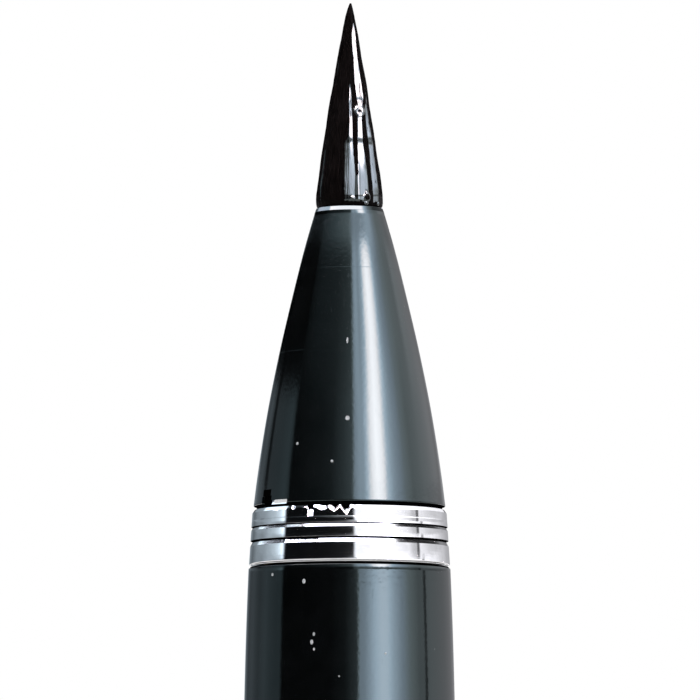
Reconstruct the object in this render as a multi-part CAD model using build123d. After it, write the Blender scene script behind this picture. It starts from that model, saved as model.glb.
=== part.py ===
from build123d import *
import math
import os

# Fine detail brush: a slim cartridge-fed brush pen, standing tip up on the flat
# crown of its posted cap. Millimetres. Z runs along the pen, from the crown face
# at z = 0 to the hair tip at z = TOTAL. The pocket clip faces -Y.

os.makedirs("parts", exist_ok=True)

# ---------------------------------------------------------------- dimensions
TOTAL = 148.0             # crown face to hair tip

# hair tuft: (distance from the tip, radius)
TUFT = [
    (0.40, 0.13), (1.10, 0.285), (2.25, 0.50), (3.29, 0.68), (4.44, 0.88),
    (5.60, 1.075), (6.75, 1.255), (7.90, 1.43), (9.06, 1.60), (10.21, 1.765),
    (11.20, 1.88),
]
TUFT_TIP_R = 0.03
BEND_Z = TOTAL - 8.5      # where the free end of the tuft starts to bend
BEND_BALL_R = 1.30
BEND_GAP = 0.03
TUFT_ROOT_R = 1.77        # hair in the nose hole and in its ferrule
TUFT_END_Z = 128.6        # rooted end of the hair
WHIP_LO, WHIP_HI, WHIP_R = 129.4, 131.0, 1.54

# section: (distance from the tip, radius)
NOSE_Z = 136.05
NOSE_HOLE_R = 1.80
SECTION = [
    (12.06, 1.955), (14.25, 2.582), (17.13, 3.300), (20.59, 4.093),
    (24.05, 4.767), (27.51, 5.300), (29.20, 5.512),
]
SECTION_END_Z = 118.70
SECTION_BORE_R = 3.30
FERRULE_R = 2.20
FERRULE_TOP_Z, FERRULE_STEP_Z = 133.40, 128.00
SPIGOT_R, SPIGOT_SLIM_R = 4.60, 4.40
SPIGOT_STEP_Z, SPIGOT_END_Z = 115.50, 109.30

# trim ring with two grooves
RING_TOP_R, RING_END_R = 5.560, 5.765
RING_END_Z = 115.42
GROOVE_Z = (117.57, 116.74)
GROOVE_W, GROOVE_D = 0.17, 0.10

# seal ring and thread, right hand
SEAL_GROOVE = (113.80, 115.00, 3.70)   # z low, z high, floor radius
SEAL_MAJOR_R, SEAL_MINOR_R = 4.25, 0.49
PITCH = 1.0
THREAD_Z0, THREAD_TURNS = 109.75, 3
MALE_CORE_R, MALE_MAJOR_R = 4.10, 4.50
FEMALE_MINOR_R, FEMALE_MAJOR_R = 4.20, 4.60
THREAD_GAP = 0.06         # extra width of the female groove on each side

# barrel
BARREL_TOP_Z = 115.38
BARREL = [
    (115.28, 5.790), (113.57, 5.859), (111.26, 5.936), (108.95, 5.998),
    (105.50, 6.066), (102.03, 6.108), (99.00, 6.130),
]
GRIP_R, GRIP_LO, GRIP_HI = 6.13, 66.0, 99.0
TAIL_SEAT_Z, TAIL_SEAT_R = 51.0, 6.02
TAIL_Z, TAIL_R = 27.0, 5.50
BUSH_R, BUSH_LO, BUSH_HI = 5.10, 108.0, 115.30
BUSH_SEAL_R, BUSH_SEAL_Z = 4.80, 113.15
BARREL_BORE_R, BARREL_FLOOR_Z = 4.10, 36.0
PLUG_FACE_Z, PLUG_FLANGE_R = 26.0, 5.20

# ink parts
WICK_R, WICK_TOP_Z, WICK_END_Z = 0.40, 138.0, 114.0
COLLECTOR_R, COLLECTOR_TOP_Z, COLLECTOR_END_Z = 3.20, 127.2, 118.7
COLLECTOR_CORE_R, FIN_T, FIN_COUNT = 1.60, 0.45, 8
NIPPLE_R, NIPPLE_BORE_R, NIPPLE_END_Z = 1.30, 0.55, 110.0
NIPPLE_FLANGE_R, NIPPLE_FLANGE_Z = 3.27, 117.9

# cartridge
NECK_R, NECK_BORE_R, NECK_TOP_Z = 2.60, 2.00, 116.5
CART_R, CART_BORE_R = 3.60, 3.10
CART_SHOULDER_Z, CART_END_Z, CART_FLOOR_Z = 108.60, 63.5, 64.3
MOUTH_R, MOUTH_LO, MOUTH_HI = 1.36, 112.5, 116.3
BALL_R, BALL_GAP = 1.45, 0.03

# cap
CAP_END_Z, CAP_LIP_Z = 1.90, 51.0
CAP_END_R, CAP_LIP_R = 6.20, 6.86
CAP_BORE_LIP_R, CAP_BORE_DEEP_R = 6.06, 5.66
SLEEVE_R, SLEEVE_BORE_R, SLEEVE_LIP_R = 5.30, 3.90, 3.52
SLEEVE_LO, SLEEVE_FLOOR_Z, SLEEVE_HI = 4.5, 7.0, 25.5
BAND_LO, BAND_HI, BAND_SEAT_R, BAND_R = 47.3, 50.8, 6.50, 6.95
CROWN_FLAT_R, CROWN_R = 4.70, 5.80
STUD_R, STUD_TOP_Z = 1.50, 6.4
WASHER_R = 6.15

# clip: a bent strip with its free end towards the mouth of the cap
CLIP_T = 0.55
CLIP_ROOT_W, CLIP_END_W = 3.6, 2.8
CLIP_Z = 5.80
SLOT_W, SLOT_LO, SLOT_HI = 4.0, 5.25, 6.35


# ------------------------------------------------------------------- helpers
def at(t):
    """Height of a point that is t mm behind the hair tip."""
    return TOTAL - t


def turned(points):
    """A solid turned about Z from a closed outline of (radius, height)."""
    return revolve(make_face(Plane.XZ * Polyline(*points, close=True)), Axis.Z, 360)


def turned_mixed(curve, points):
    """A solid turned about Z: a smooth curve of (radius, height) closed by
    straight runs through the given points."""
    smooth = Spline(*curve)
    rest = Polyline(curve[-1], *points, curve[0])
    return revolve(make_face(Plane.XZ * (Curve() + [smooth, rest])), Axis.Z, 360)


def helix_ridge(inner, outer, wide, narrow, z0, turns):
    """A trapezoid ridge wound on a right-hand helix that starts on +X at z0."""
    path = Helix(PITCH, PITCH * turns, (inner + outer) / 2, center=(0, 0, z0))
    outline = Plane(origin=(0, 0, z0), x_dir=(1, 0, 0), z_dir=(0, 1, 0))
    # the outline lies in the XZ plane; its local y runs along -Z, so it is
    # symmetric on purpose
    face = outline * make_face(Polyline(
        (inner, -wide / 2), (outer, -narrow / 2), (outer, narrow / 2),
        (inner, wide / 2), close=True))
    return sweep(face, path=path, is_frenet=True)


def save(name, shape):
    shape.label = name
    export_step(shape, f"parts/{name}.step")


# ----------------------------------------------------------------- hair tuft
ball = Pos(0, 0, BEND_Z) * Sphere(BEND_BALL_R)
socket = Pos(0, 0, BEND_Z) * Sphere(BEND_BALL_R + BEND_GAP)

skirt_z = BEND_Z + 0.62
free = [(TUFT_TIP_R, TOTAL)] + [(r, at(t)) for t, r in TUFT if at(t) > skirt_z + 0.3]
free_low_r = 1.405
tuft_point = turned_mixed(free + [(free_low_r, skirt_z)], [(0, skirt_z), (0, TOTAL)])
tuft_point -= socket
save("tuft_point", tuft_point)

belly_curve = [(1.500, BEND_Z - 0.02)] + [
    (r, at(t)) for t, r in TUFT if at(t) < BEND_Z - 0.3
] + [(1.90, at(11.60)), (TUFT_ROOT_R, at(11.93))]
tuft_belly = turned_mixed(belly_curve, [
    (TUFT_ROOT_R, WHIP_HI + 0.15), (WHIP_R, WHIP_HI), (WHIP_R, WHIP_LO),
    (TUFT_ROOT_R, WHIP_LO - 0.15), (TUFT_ROOT_R, TUFT_END_Z),
    (0, TUFT_END_Z), (0, BEND_Z - 0.02)])
tuft_belly += ball
tuft_belly -= Pos(0, 0, (WICK_TOP_Z + TUFT_END_Z) / 2) * Cylinder(
    WICK_R + 0.02, WICK_TOP_Z - TUFT_END_Z + 0.04)
save("tuft_belly", tuft_belly)

# thread whipping: turns of thread lying side by side
turns_n = 5
step = (WHIP_HI - WHIP_LO - 0.04) / turns_n
whip = [(WHIP_R + 0.01, WHIP_LO + 0.02)]
for i in range(turns_n):
    z = WHIP_LO + 0.02 + i * step
    whip += [(WHIP_R + 0.10, z + 0.001), (TUFT_ROOT_R - 0.005, z + step * 0.30),
             (TUFT_ROOT_R - 0.005, z + step * 0.70), (WHIP_R + 0.10, z + step - 0.001)]
whip += [(WHIP_R + 0.01, WHIP_HI - 0.02)]
save("tuft_binding", turned(whip))

save("tuft_root_bead", turned([
    (WICK_R + 0.02, FERRULE_STEP_Z + 0.02), (1.60, FERRULE_STEP_Z + 0.02),
    (TUFT_ROOT_R, FERRULE_STEP_Z + 0.14), (TUFT_ROOT_R, TUFT_END_Z),
    (WICK_R + 0.02, TUFT_END_Z)]))

save("tuft_ferrule", turned([
    (NOSE_HOLE_R, FERRULE_TOP_Z - 0.10), (NOSE_HOLE_R + 0.10, FERRULE_TOP_Z),
    (FERRULE_R - 0.10, FERRULE_TOP_Z), (FERRULE_R - 0.01, FERRULE_TOP_Z - 0.15),
    (FERRULE_R - 0.01, FERRULE_STEP_Z), (SECTION_BORE_R - 0.05, FERRULE_STEP_Z),
    (SECTION_BORE_R - 0.05, COLLECTOR_TOP_Z), (WICK_R + 0.02, COLLECTOR_TOP_Z),
    (WICK_R + 0.02, FERRULE_STEP_Z), (NOSE_HOLE_R, FERRULE_STEP_Z)]))

save("ink_wick", turned([
    (0, WICK_END_Z), (WICK_R - 0.10, WICK_END_Z), (WICK_R, WICK_END_Z + 0.15),
    (WICK_R, WICK_TOP_Z - 0.9), (0.10, WICK_TOP_Z - 0.05), (0, WICK_TOP_Z - 0.05)]))

# ------------------------------------------------------------------- section
section_curve = [(r, at(t)) for t, r in SECTION]
section_shell = turned_mixed(section_curve, [
    (5.430, SECTION_END_Z), (SPIGOT_R, SECTION_END_Z),
    (SPIGOT_R, SPIGOT_STEP_Z), (SPIGOT_SLIM_R, SPIGOT_STEP_Z),
    (SPIGOT_SLIM_R, SEAL_GROOVE[1]), (SEAL_GROOVE[2], SEAL_GROOVE[1]),
    (SEAL_GROOVE[2], SEAL_GROOVE[0]), (SPIGOT_SLIM_R, SEAL_GROOVE[0]),
    (SPIGOT_SLIM_R, 113.30), (MALE_CORE_R, 113.15),
    (MALE_CORE_R, SPIGOT_END_Z + 0.20), (MALE_CORE_R - 0.20, SPIGOT_END_Z),
    (SECTION_BORE_R + 0.15, SPIGOT_END_Z), (SECTION_BORE_R, SPIGOT_END_Z + 0.15),
    (SECTION_BORE_R, FERRULE_STEP_Z), (FERRULE_R, FERRULE_STEP_Z),
    (FERRULE_R, FERRULE_TOP_Z + 0.05), (NOSE_HOLE_R, FERRULE_TOP_Z + 0.45),
    (NOSE_HOLE_R, NOSE_Z), (1.875, NOSE_Z), (1.930, NOSE_Z - 0.040)])
male = helix_ridge(MALE_CORE_R - 0.15, MALE_MAJOR_R, 0.72, 0.22,
                   THREAD_Z0, THREAD_TURNS)
section_shell += male
save("section_shell", section_shell)

# ----------------------------------------------------------------- trim ring
def ring_r(z):
    """Radius of the ring's straight flank at height z."""
    k = (SECTION_END_Z - z) / (SECTION_END_Z - RING_END_Z)
    return RING_TOP_R + k * (RING_END_R - RING_TOP_R)


def band_points(z_hi, z_lo):
    """A slightly crowned band with rounded edges, from its upper edge down."""
    pts = []
    n = 8
    for i in range(n + 1):
        k = i / n
        z = z_hi + (z_lo - z_hi) * k
        edge = min(k, 1 - k) * (z_hi - z_lo)
        drop = 0.055 * max(0.0, 1 - edge / 0.09) ** 2
        pts.append((ring_r(z) + 0.012 * math.sin(math.pi * k) - drop, z))
    return pts


ring = [(SPIGOT_R, SECTION_END_Z), (RING_TOP_R - 0.075, SECTION_END_Z)]
ring += band_points(SECTION_END_Z - 0.03, GROOVE_Z[0] + GROOVE_W / 2)
ring += [(ring_r(GROOVE_Z[0]) - GROOVE_D, GROOVE_Z[0] + GROOVE_W / 4),
         (ring_r(GROOVE_Z[0]) - GROOVE_D, GROOVE_Z[0] - GROOVE_W / 4)]
ring += band_points(GROOVE_Z[0] - GROOVE_W / 2, GROOVE_Z[1] + GROOVE_W / 2)
ring += [(ring_r(GROOVE_Z[1]) - GROOVE_D, GROOVE_Z[1] + GROOVE_W / 4),
         (ring_r(GROOVE_Z[1]) - GROOVE_D, GROOVE_Z[1] - GROOVE_W / 4)]
ring += band_points(GROOVE_Z[1] - GROOVE_W / 2, RING_END_Z + 0.03)
ring += [(RING_END_R - 0.075, RING_END_Z), (SPIGOT_R, RING_END_Z)]
save("trim_ring", turned(ring))

# ----------------------------------------------------------------- ink parts
fins = [(WICK_R + 0.05, COLLECTOR_END_Z)]
fin_step = (COLLECTOR_TOP_Z - COLLECTOR_END_Z - FIN_T) / (FIN_COUNT - 1)
for i in range(FIN_COUNT):
    z = COLLECTOR_END_Z + i * fin_step
    if i:
        fins.append((COLLECTOR_CORE_R, z))
    fins += [(COLLECTOR_R, z), (COLLECTOR_R, z + FIN_T)]
    if i < FIN_COUNT - 1:
        fins.append((COLLECTOR_CORE_R, z + FIN_T))
fins.append((WICK_R + 0.05, COLLECTOR_TOP_Z))
collector = turned(fins)
# ink channel along one side and an air channel along the other
mid = (COLLECTOR_TOP_Z + COLLECTOR_END_Z) / 2
long = COLLECTOR_TOP_Z - COLLECTOR_END_Z + 1
collector -= Pos(0, 2.75, mid) * Box(0.35, 1.5, long)
collector -= Pos(0, -2.85, mid) * Box(0.90, 1.0, long)
save("ink_collector", collector)

save("cartridge_nipple", turned([
    (NIPPLE_BORE_R, COLLECTOR_END_Z), (NIPPLE_FLANGE_R, COLLECTOR_END_Z),
    (NIPPLE_FLANGE_R, NIPPLE_FLANGE_Z), (NIPPLE_R, NIPPLE_FLANGE_Z),
    (NIPPLE_R, NIPPLE_END_Z + 0.35), (NIPPLE_R - 0.30, NIPPLE_END_Z),
    (NIPPLE_BORE_R, NIPPLE_END_Z)]))

# --------------------------------------------------------- seal ring, thread
save("thread_seal_ring", Pos(0, 0, (SEAL_GROOVE[0] + SEAL_GROOVE[1]) / 2)
     * Torus(SEAL_MAJOR_R, SEAL_MINOR_R))

bush = turned([
    (BUSH_R, BUSH_HI - 0.10), (BUSH_R - 0.10, BUSH_HI), (BUSH_SEAL_R + 0.06, BUSH_HI),
    (BUSH_SEAL_R, BUSH_HI - 0.10), (BUSH_SEAL_R, BUSH_SEAL_Z + 0.45),
    (FEMALE_MINOR_R, BUSH_SEAL_Z), (FEMALE_MINOR_R, BUSH_LO + 0.15),
    (FEMALE_MINOR_R + 0.15, BUSH_LO), (BUSH_R, BUSH_LO)])
female = helix_ridge(FEMALE_MINOR_R - 0.18, FEMALE_MAJOR_R,
                     0.72 + 2 * THREAD_GAP, 0.22 + 2 * THREAD_GAP,
                     THREAD_Z0 - 3 * PITCH, THREAD_TURNS + 4)
tap = Pos(0, 0, (BUSH_LO + BUSH_SEAL_Z) / 2) * Cylinder(FEMALE_MINOR_R, 12) + female
bush -= tap
save("thread_bush", bush)

# -------------------------------------------------------------------- barrel
barrel_curve = [(r, z) for z, r in BARREL]
save("barrel_tube", turned_mixed(barrel_curve, [
    (GRIP_R, GRIP_LO), (TAIL_SEAT_R + 0.015, TAIL_SEAT_Z + 1.0),
    (TAIL_SEAT_R, TAIL_SEAT_Z), (TAIL_R, TAIL_Z),
    (BARREL_BORE_R, TAIL_Z), (BARREL_BORE_R, BUSH_LO), (BUSH_R, BUSH_LO),
    (BUSH_R, BARREL_TOP_Z), (5.715, BARREL_TOP_Z)]))

save("barrel_plug", turned([
    (0, PLUG_FACE_Z), (PLUG_FLANGE_R - 0.35, PLUG_FACE_Z),
    (PLUG_FLANGE_R, PLUG_FACE_Z + 0.35), (PLUG_FLANGE_R, TAIL_Z),
    (BARREL_BORE_R, TAIL_Z), (BARREL_BORE_R, BARREL_FLOOR_Z - 0.5),
    (BARREL_BORE_R - 0.5, BARREL_FLOOR_Z), (2.9, BARREL_FLOOR_Z),
    (2.9, TAIL_Z + 0.8), (0, TAIL_Z + 0.8)]))

# ----------------------------------------------------------------- cartridge
save("cartridge_body", turned([
    (0, CART_END_Z), (CART_R - 0.7, CART_END_Z), (CART_R - 0.2, CART_END_Z + 0.2),
    (CART_R, CART_END_Z + 0.7), (CART_R, CART_SHOULDER_Z - 0.6),
    (CART_R - 0.5, CART_SHOULDER_Z), (NECK_R, CART_SHOULDER_Z + 0.3),
    (NECK_R, NECK_TOP_Z - 0.15), (NECK_R - 0.15, NECK_TOP_Z),
    (NECK_BORE_R, NECK_TOP_Z), (NECK_BORE_R, CART_SHOULDER_Z - 0.2),
    (CART_BORE_R, CART_SHOULDER_Z - 1.2), (CART_BORE_R, CART_FLOOR_Z + 0.4),
    (CART_BORE_R - 0.4, CART_FLOOR_Z), (0, CART_FLOOR_Z)]))

save("cartridge_mouth", turned([
    (MOUTH_R, MOUTH_LO), (NECK_BORE_R, MOUTH_LO), (NECK_BORE_R, MOUTH_HI),
    (MOUTH_R + 0.25, MOUTH_HI), (MOUTH_R, MOUTH_HI - 0.3)]))

save("cartridge_ball",
     Pos(0, 0, CART_FLOOR_Z + BALL_R + BALL_GAP) * Sphere(BALL_R))

# ----------------------------------------------------------------------- cap
def cap_r(z):
    """Outer radius of the cap's straight flank at height z."""
    k = (z - CAP_END_Z) / (CAP_LIP_Z - CAP_END_Z)
    return CAP_END_R + k * (CAP_LIP_R - CAP_END_R)


cap_shell = turned([
    (STUD_R + 0.03, CAP_END_Z), (CAP_END_R - 0.15, CAP_END_Z),
    (CAP_END_R, CAP_END_Z + 0.15), (cap_r(BAND_LO), BAND_LO - 0.02),
    (BAND_SEAT_R, BAND_LO - 0.02), (BAND_SEAT_R, CAP_LIP_Z - 0.15),
    (BAND_SEAT_R - 0.15, CAP_LIP_Z), (CAP_BORE_LIP_R + 0.10, CAP_LIP_Z),
    (CAP_BORE_LIP_R, CAP_LIP_Z - 0.25), (CAP_BORE_LIP_R, CAP_LIP_Z - 1.2),
    (CAP_BORE_DEEP_R, TAIL_Z), (CAP_BORE_DEEP_R, PLUG_FACE_Z - 0.3),
    (SLEEVE_R + 0.01, PLUG_FACE_Z - 0.4), (SLEEVE_R + 0.01, SLEEVE_LO),
    (STUD_R + 0.03, SLEEVE_LO)])
cap_shell -= Pos(0, -6.0, (SLOT_LO + SLOT_HI) / 2) * Box(SLOT_W, 2.4, SLOT_HI - SLOT_LO)
save("cap_shell", cap_shell)

save("cap_inner_sleeve", turned([
    (0, STUD_TOP_Z + 0.05), (STUD_R + 0.03, STUD_TOP_Z + 0.05),
    (STUD_R + 0.03, SLEEVE_LO), (SLEEVE_R - 0.2, SLEEVE_LO),
    (SLEEVE_R, SLEEVE_LO + 0.2), (SLEEVE_R, SLEEVE_HI - 0.2),
    (SLEEVE_R - 0.2, SLEEVE_HI), (SLEEVE_LIP_R + 0.25, SLEEVE_HI),
    (SLEEVE_LIP_R, SLEEVE_HI - 0.4), (SLEEVE_LIP_R, SLEEVE_HI - 0.9),
    (SLEEVE_BORE_R, SLEEVE_HI - 1.6), (SLEEVE_BORE_R, SLEEVE_FLOOR_Z + 0.3),
    (SLEEVE_BORE_R - 0.3, SLEEVE_FLOOR_Z), (0, SLEEVE_FLOOR_Z)]))

band_mid = (BAND_LO + BAND_HI) / 2
band = [(BAND_SEAT_R, BAND_LO), (BAND_R - 0.12, BAND_LO), (BAND_R - 0.02, BAND_LO + 0.10)]
for g in (band_mid - 0.42, band_mid + 0.42):
    band += [(BAND_R, g - 0.12), (BAND_R - 0.10, g - 0.04),
             (BAND_R - 0.10, g + 0.04), (BAND_R, g + 0.12)]
band += [(BAND_R - 0.02, BAND_HI - 0.10), (BAND_R - 0.12, BAND_HI), (BAND_SEAT_R, BAND_HI)]
save("cap_band", turned(band))

save("crown_finial", turned([
    (0, 0), (CROWN_FLAT_R, 0), (CROWN_FLAT_R + 0.45, 0.08),
    (CROWN_R - 0.22, 0.36), (CROWN_R, 0.80), (CROWN_R, 1.20),
    (STUD_R, 1.20), (STUD_R, STUD_TOP_Z - 0.2), (STUD_R - 0.2, STUD_TOP_Z),
    (0, STUD_TOP_Z)]))

save("crown_washer", turned([
    (STUD_R + 0.03, 1.20), (WASHER_R - 0.18, 1.20), (WASHER_R - 0.04, 1.30),
    (WASHER_R, 1.46), (WASHER_R, 1.64), (WASHER_R - 0.04, 1.80),
    (WASHER_R - 0.18, CAP_END_Z), (STUD_R + 0.03, CAP_END_Z)]))

# ---------------------------------------------------------------------- clip
# side outline in Y and Z: tongue in the wall, bend, long arm, bump, lifted toe
arm_in = -7.05
outer = [(-5.50, CLIP_Z - CLIP_T / 2), (-7.00, CLIP_Z - CLIP_T / 2),
         (-7.42, CLIP_Z - CLIP_T / 2 + 0.16), (-7.60, CLIP_Z + 0.25),
         (-7.66, 7.2), (-7.92, 20.0), (-7.96, 33.0), (-7.62, 36.6),
         (-7.54, 37.6), (-7.78, 38.8), (-8.10, 39.5)]
inner = [(-7.62, 39.75), (-7.20, 38.95), (-6.88, 38.1), (-6.80, 37.5),
         (-6.90, 36.6), (-7.40, 33.0), (-7.37, 20.0), (-7.11, 7.2),
         (-7.05, CLIP_Z + 0.55), (-6.95, CLIP_Z + 0.33),
         (-6.75, CLIP_Z + CLIP_T / 2), (-5.50, CLIP_Z + CLIP_T / 2)]
arm = extrude(make_face(Plane.YZ * Polyline(*outer, *inner, close=True)),
              CLIP_ROOT_W / 2, both=True)
for side in (1, -1):
    wedge = make_face(Plane.XZ * Polyline(
        (side * CLIP_ROOT_W / 2, 7.0), (side * 4, 7.0), (side * 4, 41.0),
        (side * (CLIP_END_W / 2 - 0.55), 41.0), (side * CLIP_END_W / 2, 38.9),
        close=True))
    arm -= extrude(wedge, 12, both=True)
save("pocket_clip", arm)

for leaf in sorted(os.listdir("parts")):
    print(leaf)
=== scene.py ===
import math
import random

import bmesh
import bpy
import numpy as np
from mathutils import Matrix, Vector


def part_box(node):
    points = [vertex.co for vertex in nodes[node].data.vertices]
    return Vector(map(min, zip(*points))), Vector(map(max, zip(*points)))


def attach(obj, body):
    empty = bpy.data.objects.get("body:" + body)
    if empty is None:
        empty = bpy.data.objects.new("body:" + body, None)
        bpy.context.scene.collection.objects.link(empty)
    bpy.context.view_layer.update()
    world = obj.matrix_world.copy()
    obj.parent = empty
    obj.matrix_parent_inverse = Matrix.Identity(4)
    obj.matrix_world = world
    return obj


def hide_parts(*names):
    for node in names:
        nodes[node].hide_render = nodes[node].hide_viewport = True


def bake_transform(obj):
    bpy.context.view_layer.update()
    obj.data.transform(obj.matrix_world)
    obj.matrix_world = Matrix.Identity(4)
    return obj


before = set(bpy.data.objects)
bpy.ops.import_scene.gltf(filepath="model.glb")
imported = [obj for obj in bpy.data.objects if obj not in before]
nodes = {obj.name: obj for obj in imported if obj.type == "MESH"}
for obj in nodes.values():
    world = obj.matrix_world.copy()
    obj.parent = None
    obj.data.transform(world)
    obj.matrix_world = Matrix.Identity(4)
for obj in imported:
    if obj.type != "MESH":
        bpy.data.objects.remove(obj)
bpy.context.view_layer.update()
scene = bpy.context.scene
MM = 0.001
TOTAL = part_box("tuft_point")[1].z / MM          # height of the hair tip
rng = np.random.default_rng(7)


# =========================================================== camera and studio
def make_camera():
    """Looks slightly up at the front 40 mm of the pen."""
    rise = math.radians(4.9)
    dist = 0.400
    target = Vector((0.0000290, 0.0, (TOTAL - 20.115) * MM))
    cam = bpy.data.cameras.new("camera")
    cam.sensor_fit = "HORIZONTAL"
    cam.sensor_width = 36.0
    cam.lens = 36.0 * 400.0 / 40.25
    cam.clip_start = 0.01
    cam.clip_end = 50.0
    ob = bpy.data.objects.new("camera", cam)
    ob.location = target + Vector((0, -math.cos(rise) * dist, -math.sin(rise) * dist))
    ob.rotation_euler = (math.radians(90) + rise, 0, 0)
    scene.collection.objects.link(ob)
    scene.camera = ob


def math_node(nt, op, a, b=None, c=None, clamp=False):
    n = nt.nodes.new("ShaderNodeMath")
    n.operation = op
    n.use_clamp = clamp
    for i, v in enumerate((a, b, c)):
        if v is None:
            continue
        if isinstance(v, (int, float)):
            n.inputs[i].default_value = v
        else:
            nt.links.new(v, n.inputs[i])
    return n.outputs[0]


def value_ramp(nt, fac, stops, scale):
    """A ramp of plain values over an angle in degrees from -180 to 180."""
    n = nt.nodes.new("ShaderNodeValToRGB")
    cr = n.color_ramp
    cr.interpolation = "LINEAR"
    while len(cr.elements) > 1:
        cr.elements.remove(cr.elements[0])
    for i, (deg, val) in enumerate(stops):
        pos = (deg + 180.0) / 360.0
        e = cr.elements[0] if i == 0 else cr.elements.new(pos)
        e.position = pos
        g = val / scale
        e.color = (g, g, g, 1)
    nt.links.new(fac, n.inputs[0])
    return n.outputs[0]


def make_world():
    """A soft studio: a dark flag at the front left, a broad panel at the right with a
    bright strip in it, a lamp overhead, and plain white behind everything."""
    world = bpy.data.worlds.new("studio")
    scene.world = world
    world.use_nodes = True
    world.cycles.sampling_method = "NONE"       # plain diffuse light needs no map
    nt = world.node_tree
    nt.nodes.clear()
    out = nt.nodes.new("ShaderNodeOutputWorld")
    tc = nt.nodes.new("ShaderNodeTexCoord")
    sep = nt.nodes.new("ShaderNodeSeparateXYZ")
    nt.links.new(tc.outputs["Generated"], sep.inputs[0])
    x, y, z = sep.outputs
    # Panels stand on a curve round the front of the pen, higher in the middle and
    # lower towards the back, so they are laid out by the half-way direction.
    rise = math.radians(4.9)
    hy = math_node(nt, "SUBTRACT", math.cos(rise), y)
    hz = math_node(nt, "SUBTRACT", z, math.sin(rise))
    flat = math_node(nt, "SQRT", math_node(nt, "ADD", math_node(nt, "MULTIPLY", x, x),
                                           math_node(nt, "MULTIPLY", hy, hy)))
    az = math_node(nt, "MULTIPLY", math_node(nt, "ARCTAN2", x, hy), 360 / math.pi)
    el = math_node(nt, "MULTIPLY", math_node(nt, "ARCTAN2", hz, flat), 360 / math.pi)
    el = math_node(nt, "ADD", el, 4.9)
    fac = math_node(nt, "DIVIDE", math_node(nt, "ADD", az, 180.0), 360.0)

    def step(v, lo, hi):
        w = nt.nodes.new("ShaderNodeMapRange")
        w.interpolation_type = "LINEAR"
        w.inputs["From Min"].default_value = lo
        w.inputs["From Max"].default_value = hi
        nt.links.new(v, w.inputs["Value"])
        return w.outputs[0]

    S = 30.0
    low = [(-180, .40), (-152, .14), (-137, .27), (-122, .26), (-109, .46), (-98, .41),
           (-89, .39), (-84, .42), (-80.5, .008), (-60, .008), (-20, .020), (-5, .10),
           (4, .40), (9.2, .60), (10.4, 3.7), (17, 4.3), (23, 6.5), (29, 9.0), (36, 10.5),
           (43, 10.2), (50, 7.2), (60, 4.2), (71, 2.4), (84, 1.3), (92, 1.2), (93, .28),
           (96, .28), (97, 1.3), (103, 1.3), (131, .75), (150, .50), (180, .40)]
    belt = [(-180, .50), (-155, .32), (-146, .33), (-125, .33), (-116, .36), (-108, .48),
            (-98, .60), (-92, .80), (-87, 1.2), (-84, 1.5), (-80.5, .004), (-30, .005),
            (3.5, .007), (4.8, .02), (6.6, 1.15), (57, 1.15), (64, 1.05), (73, .95),
            (80, .60), (84.4, .60), (85.0, .10), (89.4, .10), (90.0, 1.0), (96, .95),
            (106, .72), (128, .58), (145, .48), (165, .60)]
    mid = [(-180, .3), (-154, .14), (-141, .30), (-132, .24), (-129, .04), (-124, .05),
           (-121, .25), (-100, .40), (-86, .60), (-81, .42), (-78.5, .03), (-60, .05),
           (-36, .12), (-22, .22), (-8, .6), (3.5, 1.1), (6.5, 4.4), (12, 6.1),
           (18, 6.4), (23, 11.0), (29, 19.8), (35, 23.5), (42, 20.5), (48.5, 10.5),
           (55, 6.6), (62, 4.7), (73, 2.8), (85, 1.8), (106, 1.7), (133, 1.05), (152, .45)]
    high = [(-180, .2), (-156, .03), (-100, .03), (-79, .05), (-60, .15), (-38, .22),
            (-22, .30), (-8, .50), (2, .7), (4.6, 2.0), (7.5, 5.2), (12, 6.6), (17, 5.2),
            (23.5, 7.4), (29.5, 17.0), (36, 22.5), (42.5, 20.5), (48.5, 13.5), (54, 7.0),
            (61, 4.4), (72, 2.9), (85, 2.1), (98, 1.6), (108, 1.85), (121, 1.3),
            (136, .80), (152, .4)]
    nose = [(-180, .3), (-156, .05), (-110, .05), (-92, .14), (-66, .42), (-40, .95),
            (-20, 1.5), (-4, 2.0), (6, 3.6), (13, 4.4), (26, 4.2), (39, 5.0), (50, 6.2),
            (60, 6.0), (70, 3.6), (84, 2.2), (109, 1.4), (123, .9), (152, .45)]
    over = [(-180, .10), (-138, .3), (-122, 3.5), (-100, 6.5), (-72, 9), (-66, 22), (40, 22),
            (48, 9), (62, 3), (85, .5), (180, .12)]
    groove = [(-180, .04), (-81, .04), (-78.5, .8), (-60, .75), (-57.5, .10), (-55.5, .10),
              (-53, 6), (49, 6), (55, 1.0), (61, .10), (70, .02), (180, .02)]
    top = [(-180, .25), (-126, .35), (-120, 1.5), (-80.5, 1.5), (-79, .04), (-53.5, .04),
           (-51, 7), (9, 7), (15, 2), (120, 1.2), (180, .8)]
    roof = [(-180, 12), (-60, 18), (60, 18), (180, 12)]
    ramps = [value_ramp(nt, fac, r, S)
             for r in (low, belt, mid, high, nose, over, groove, top, roof)]
    bands = [(8.3, 9.0), (13.0, 17.0), (24.0, 31.0), (34.0, 38.0), (41.5, 43.5),
             (54.0, 55.5), (62.5, 65.0), (100.0, 118.0)]
    cur = ramps[0]
    for (lo, hi), nxt in zip(bands, ramps[1:]):
        m = nt.nodes.new("ShaderNodeMix")
        m.data_type = "RGBA"
        nt.links.new(step(el, lo, hi), m.inputs[0])
        nt.links.new(cur, m.inputs[6])
        nt.links.new(nxt, m.inputs[7])
        cur = m.outputs[2]
    level = nt.nodes.new("ShaderNodeSeparateColor")
    nt.links.new(cur, level.inputs[0])
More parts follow.
